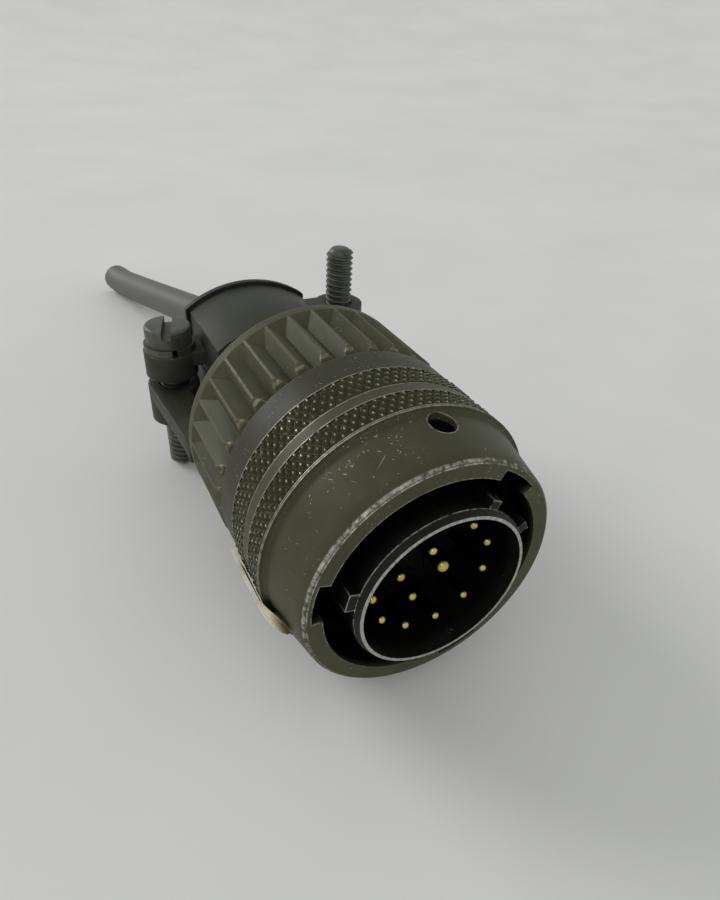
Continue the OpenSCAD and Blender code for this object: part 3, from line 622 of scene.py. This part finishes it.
def grown(name, tree, values):
    seed = bpy.data.objects.new(name, bpy.data.meshes.new(name))
    scene.collection.objects.link(seed)
    modifier = seed.modifiers.new(name, "NODES")
    modifier.node_group = tree
    for socket in tree.interface.items_tree:
        if socket.in_out == "INPUT" and socket.name in values:
            modifier[socket.identifier] = values[socket.name]
    graph = bpy.context.evaluated_depsgraph_get()
    mesh = bpy.data.meshes.new_from_object(seed.evaluated_get(graph))
    bpy.data.objects.remove(seed)
    return mesh


def makeKnurl():
    tree = knurlTree()
    for name, (edge, wide) in knurlSet["bandsMm"].items():
        step = wide / knurlSet["Rows"]
        values = dict(knurlSet, Finish=finishes["knurl"])
        values["Row Step"] = step * mm
        values["First Row"] = (edge - step / 2) * mm
        addPiece(name, grown(name, tree, values), "knurl", "coupling")


makeKnurl()
print("knurl cut")

# two clamp screws, slotted cheese heads, their points pass through the tapped ears
screwSet = {
    "placeMm": (-50, -12.6), "underHeadMm": 4.7, "longMm": 19.6, "coreMm": 1.62, "pointShare": 0.55,
    "headMm": 3.05, "headHighMm": 2.5, "roundMm": 0.45, "roundSteps": 5, "crownMm": 0.12,
    "slotMm": 1.2, "slotDeepMm": 1.1, "slotTurnDeg": 73, "around": 40, "threadFromMm": 0.5,
}
threadSet = {
    "Pitch": 0.79 * mm, "Turns": 18.0, "Middle": 1.64 * mm, "Ridge": 0.27 * mm, "Steps": 28,
}


def latheMesh(name, profile, around):
    work = bmesh.new()
    start = [work.verts.new((r, 0, z)) for r, z in profile]
    rings = [start]
    for k in range(1, around):
        turn = Matrix.Rotation(math.tau * k / around, 4, "Z")
        rings.append([work.verts.new(turn @ v.co) for v in start])
    for ring, nextRing in zip(rings, rings[1:] + rings[:1]):
        for i in range(len(profile) - 1):
            work.faces.new((ring[i], nextRing[i], nextRing[i + 1], ring[i + 1]))
    bmesh.ops.remove_doubles(work, verts=work.verts, dist=meshSet["poleMm"] * mm)
    bmesh.ops.recalc_face_normals(work, faces=work.faces)
    return plainMesh(name, work)


def boxMesh(name, low, high):
    work = bmesh.new()
    bmesh.ops.create_cube(work, size=1)
    middle = (low + high) / 2
    for v in work.verts:
        v.co = middle + v.co * (high - low)
    return plainMesh(name, work)


def cutAway(mesh, cutterMesh):
    body = bpy.data.objects.new(mesh.name, mesh)
    cutter = bpy.data.objects.new(cutterMesh.name, cutterMesh)
    for piece in (body, cutter):
        scene.collection.objects.link(piece)
    modifier = body.modifiers.new("cut", "BOOLEAN")
    modifier.object = cutter
    modifier.solver = "EXACT"
    graph = bpy.context.evaluated_depsgraph_get()
    result = bpy.data.meshes.new_from_object(body.evaluated_get(graph))
    for piece in (body, cutter):
        bpy.data.objects.remove(piece)
    return result


def arc(middle, radius, fromDeg, toDeg, steps):
    angles = [math.radians(fromDeg + (toDeg - fromDeg) * k / steps) for k in range(steps + 1)]
    return [(middle[0] + radius * math.cos(a), middle[1] + radius * math.sin(a)) for a in angles]


def threadTree():
    tree = bpy.data.node_groups.new("screwThread", "GeometryNodeTree")
    sockets = {"Pitch": "NodeSocketFloat", "Turns": "NodeSocketFloat", "Middle": "NodeSocketFloat",
               "Ridge": "NodeSocketFloat", "Steps": "NodeSocketInt", "Low": "NodeSocketVector",
               "Finish": "NodeSocketMaterial"}
    for name, kind in sockets.items():
        tree.interface.new_socket(name, in_out="INPUT", socket_type=kind)
    tree.interface.new_socket("Thread", in_out="OUTPUT", socket_type="NodeSocketGeometry")
    given = addNode(tree, "NodeGroupInput", {}).outputs
    rise = addNode(tree, "ShaderNodeMath", {0: given["Pitch"], 1: given["Turns"]}, operation="MULTIPLY")
    helix = addNode(tree, "GeometryNodeCurveSpiral", {
        "Resolution": given["Steps"], "Rotations": given["Turns"], "Start Radius": given["Middle"],
        "End Radius": given["Middle"], "Height": rise.outputs[0]})
    upright = addNode(tree, "GeometryNodeSetCurveNormal", {0: helix.outputs[0]}, mode="Z_UP")
    ridge = addNode(tree, "GeometryNodeCurvePrimitiveCircle", {
        "Resolution": 4, "Radius": given["Ridge"]})
    swept = addNode(tree, "GeometryNodeCurveToMesh", {
        "Curve": upright.outputs[0], "Profile Curve": ridge.outputs[0], "Fill Caps": True})
    lifted = addNode(tree, "GeometryNodeTransform", {
        "Geometry": swept.outputs[0], "Translation": given["Low"]})
    real = addNode(tree, "GeometryNodeRealizeInstances", {0: lifted.outputs[0]})
    done = addNode(tree, "GeometryNodeSetMaterial", {0: real.outputs[0], "Material": given["Finish"]})
    addNode(tree, "NodeGroupOutput", {"Thread": done.outputs[0]})
    return tree


def makeScrews():
    size = {key: value * mm for key, value in screwSet.items() if key.endswith("Mm") and key != "placeMm"}
    x, y = [v * mm for v in screwSet["placeMm"]]
    steps = screwSet["roundSteps"]
    low = size["underHeadMm"] - size["longMm"]
    top = size["underHeadMm"] + size["headHighMm"]
    edge = size["headMm"] - size["roundMm"]
    point = size["coreMm"] * screwSet["pointShare"]
    profile = [(0, low)]
    profile += arc((size["coreMm"] - point, low + point), point, -90, 0, steps)
    profile += [(size["coreMm"], size["underHeadMm"]), (size["headMm"], size["underHeadMm"])]
    profile += arc((edge, top - size["roundMm"]), size["roundMm"], 0, 90, steps)
    profile += [(0, top + size["crownMm"])]
    slotLow = Vector((-size["slotMm"] / 2, -2 * size["headMm"], top - size["slotDeepMm"]))
    slotHigh = Vector((size["slotMm"] / 2, 2 * size["headMm"], top + size["headHighMm"]))
    slot = boxMesh("slot", slotLow, slotHigh)
    slot.transform(Matrix.Rotation(math.radians(screwSet["slotTurnDeg"]), 4, "Z"))
    screw = cutAway(latheMesh("screw", profile, screwSet["around"]), slot)
    screw.transform(Matrix.Translation((x, y, 0)))
    values = dict(threadSet, Finish=finishes["screw"], Low=(x, y, low + size["threadFromMm"]))
    thread = grown("thread", threadTree(), values)
    flip = Matrix.Rotation(math.pi, 4, "X")
    for side, turn in (("left", Matrix.Identity(4)), ("right", flip)):
        shank = screw.copy()
        shank.transform(turn)
        smoothShade(shank, meshSet["turnedDeg"])
        piece = addPiece(side + "ScrewShank", shank, "screw", "clamp")
        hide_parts(side + "_screw")
        ridge = thread.copy()
        ridge.transform(turn)
        addPiece(side + "ScrewThread", ridge, "screw", "clamp")


makeScrews()
print("screws driven")

# the cast and turned pieces, with their sharp edges broken: node, then name, finish, body, slot, edge in mm
softSet = {
    "grip_nut": ("gripNut", "nut", "nut", "olive_nut", 0.1),
    "clamp_body": ("clampBody", "clamp", "clamp", "olive_clamp", 0.25),
    "upper_saddle": ("upperSaddle", "clamp", "clamp", "olive_clamp", 0.25),
    "lower_saddle": ("lowerSaddle", "clamp", "clamp", "olive_clamp", 0.25),
}
bevelSet = {"flatDeg": 0.5, "sharpDeg": 32, "segments": 2}


def mergedCopy(node):
    work = bmesh.new()
    work.from_mesh(node.data)
    work.transform(node.matrix_world)
    bmesh.ops.remove_doubles(work, verts=work.verts, dist=meshSet["mergeMm"] * mm)
    return work


def softCopy(node, name, widthMm):
    work = mergedCopy(node)
    flat = math.radians(bevelSet["flatDeg"])
    bmesh.ops.dissolve_limit(work, angle_limit=flat, verts=work.verts, edges=work.edges)
    body = bpy.data.objects.new(name, plainMesh(name, work))
    scene.collection.objects.link(body)
    edge = body.modifiers.new("brokenEdge", "BEVEL")
    edge.width = widthMm * mm
    edge.segments = bevelSet["segments"]
    edge.limit_method = "ANGLE"
    edge.angle_limit = math.radians(bevelSet["sharpDeg"])
    graph = bpy.context.evaluated_depsgraph_get()
    result = bpy.data.meshes.new_from_object(body.evaluated_get(graph))
    bpy.data.objects.remove(body)
    smoothShade(result, meshSet["castDeg"])
    return result


for nodeName, (name, finish, body, slot, widthMm) in softSet.items():
    piece = addPiece(name, softCopy(nodes[nodeName], name, widthMm), finish, body)
    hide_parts(nodeName)
print("edges broken")

# the smooth front of the coupling ring widens backwards to a low step at the knurl;
# what lies inside the lip's radius stays as it is
coneSet = {
    "frontMm": -2.1, "rearMm": -7.3, "knurlMm": -8.3, "coveMm": 13.7, "stepMm": 14.7, "riseMm": 0.6,
    "insideMm": 13.25,
}


def makeRing():
    front, rear, knurl, cove, step, rise, inside = [value * mm for value in coneSet.values()]
    work = mergedCopy(nodes["coupling_ring"])
    for v in work.verts:
        radius = math.hypot(v.co.y, v.co.z)
        if radius > inside and knurl <= v.co.x < front:
            back = min(1, (front - v.co.x) / (front - rear))
            left = min(1, (step - radius) / (step - cove))
            wider = 1 + rise * back * max(0, left) / radius
            v.co.y *= wider
            v.co.z *= wider
    mesh = plainMesh("couplingRing", work)
    smoothShade(mesh, meshSet["turnedDeg"])
    piece = addPiece("couplingRing", mesh, "ring", "coupling")
    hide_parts("coupling_ring")


makeRing()
print("ring turned")


def makeSpring():
    mesh = plainMesh("waveSpring", mergedCopy(nodes["wave_washer"]))
    smoothShade(mesh, meshSet["turnedDeg"])
    piece = addPiece("waveSpring", mesh, "spring", "plug")
    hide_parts("wave_washer")
    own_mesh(piece)


makeSpring()
print("wave washer fitted")


def makeWires():
    mesh = plainMesh("hookupWires", mergedCopy(nodes["hookup_wires"]))
    smoothShade(mesh, meshSet["turnedDeg"])
    mesh.materials.append(finishes["wire"])
    piece = bpy.data.objects.new("hookupWires", mesh)
    scene.collection.objects.link(piece)
    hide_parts("hookup_wires")
    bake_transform(piece)


makeWires()
print("wires joined")

# a torn strip of folded paper tape that stands off the knurl and ends in a brown point on the smooth front:
# at each place along the axis, its inner radius and its two edges in degrees from the top
tapeSet = {
    "placesMm": (-16.1, -12.5, -8.5, -7.0, -5.6, -4.4),
    "radiiMm": (15.28, 15.3, 15.2, 14.85, 14.4, 13.95),
    "upperDeg": (-101, -100.5, -101, -100.4, -100, -101.5),
    "lowerDeg": (-114, -114, -113, -111, -109, -105.5),
    "across": 4, "thickMm": 0.32,
}


def makeTape():
    across = tapeSet["across"]
    thick = tapeSet["thickMm"]
    rows = zip(tapeSet["placesMm"], tapeSet["radiiMm"], tapeSet["upperDeg"], tapeSet["lowerDeg"])
    work = bmesh.new()
    loops = []
    for along, radius, upper, lower in rows:
        turns = [math.radians(upper + (lower - upper) * k / across) for k in range(across + 1)]
        around = [(radius, turn) for turn in turns]
        around += [(radius + thick, turn) for turn in reversed(turns)]
        corners = [Vector((along, r * math.sin(turn), r * math.cos(turn))) * mm for r, turn in around]
        loops.append([work.verts.new(corner) for corner in corners])
    for loop, nextLoop in zip(loops, loops[1:]):
        for k in range(len(loop)):
            work.faces.new((loop[k], nextLoop[k], nextLoop[k - 1], loop[k - 1]))
    work.faces.new(loops[0])
    work.faces.new(loops[-1])
    bmesh.ops.recalc_face_normals(work, faces=work.faces)
    mesh = plainMesh("tapeStrip", work)
    smoothShade(mesh, meshSet["paperDeg"])
    piece = addPiece("tapeStrip", mesh, "paper", "coupling")
    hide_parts("paper_tape")


makeTape()
print("tape stuck on")

# a pale sheet that lies flat under the plug and curves up far from it, in an evenly lit room
stageSet = {
    "floorMm": -15, "flatMm": 450, "sweepMm": 1100, "sweepHighMm": 320, "sweepSteps": 16, "around": 96,
    "skyColour": "#f1f3f3", "horizon": 0.88, "zenith": 0.42, "backdropShare": 0.65,
    "backdropHigh": (0.02, 0.2),
    "windowFromMm": (-4200, -2900, 2700), "windowMm": 2700, "windowWatts": 108,
    "lampFromMm": (1400, -900, 1300), "lampMm": 350, "lampWatts": 2.5,
}
floorLook = {
    "constants": {"Specular IOR Level": 0.15}, "dark": "#ebebe8", "light": "#f0f0ee", "dirtAndShadeColour": "#ebebe8",
    "cloudMm": 60, "grimeAndShadeMm": 1, "grimeAndShade": 0, "rough": 0.8, "grainMm": 0.6, "grain": 0.05,
}


def makeFloor():
    flat, sweep, rise, low = [stageSet[key] * mm for key in ("flatMm", "sweepMm", "sweepHighMm", "floorMm")]
    shares = [k / stageSet["sweepSteps"] for k in range(stageSet["sweepSteps"] + 1)]
    profile = [(0, low)] + [(flat + sweep * t, low + rise * t ** 2) for t in shares]
    mesh = latheMesh("tableTop", profile, stageSet["around"])
    smoothShade(mesh, meshSet["sheetDeg"])
    mesh.materials.append(evenFinish("paleLaminate", floorLook))   # matt, with hardly any tone change
    floor = bpy.data.objects.new("tableTop", mesh)
    scene.collection.objects.link(floor)


def makeLights():
    for name in ("window", "lamp"):
        light = bpy.data.lights.new(name, "AREA")
        light.shape = "DISK"
        light.size = stageSet[name + "Mm"] * mm
        light.energy = stageSet[name + "Watts"]
        lit = bpy.data.objects.new(name, light)
        lit.location = Vector(stageSet[name + "FromMm"]) * mm
        lit.rotation_mode = "QUATERNION"
        lit.rotation_quaternion = (-lit.location).to_track_quat("-Z", "Y")
        lit.visible_camera = False
        scene.collection.objects.link(lit)


def makeRoom():
    world = bpy.data.worlds.new("room")
    world.use_nodes = True
    tree = world.node_tree
    tree.nodes.clear()
    direction = addNode(tree, "ShaderNodeTexCoord", {}).outputs["Generated"]
    height = addNode(tree, "ShaderNodeSeparateXYZ", {0: direction}).outputs["Z"]
    above = addNode(tree, "ShaderNodeMapRange", {
        "Value": height, "To Min": stageSet["horizon"], "To Max": stageSet["zenith"]})
    least, most = stageSet["backdropHigh"]
    backdrop = addNode(tree, "ShaderNodeMapRange", {
        "Value": height, "From Min": least, "From Max": most, "To Min": stageSet["backdropShare"]},
        interpolation_type="SMOOTHSTEP")
    level = addNode(tree, "ShaderNodeMath", {
        0: above.outputs[0], 1: backdrop.outputs[0]}, operation="MULTIPLY")
    room = addNode(tree, "ShaderNodeBackground", {
        "Color": toLinear(stageSet["skyColour"]), "Strength": level.outputs[0]})
    addNode(tree, "ShaderNodeOutputWorld", {"Surface": room.outputs[0]})
    scene.world = world


makeFloor()
makeLights()
makeRoom()
print("stage lit")
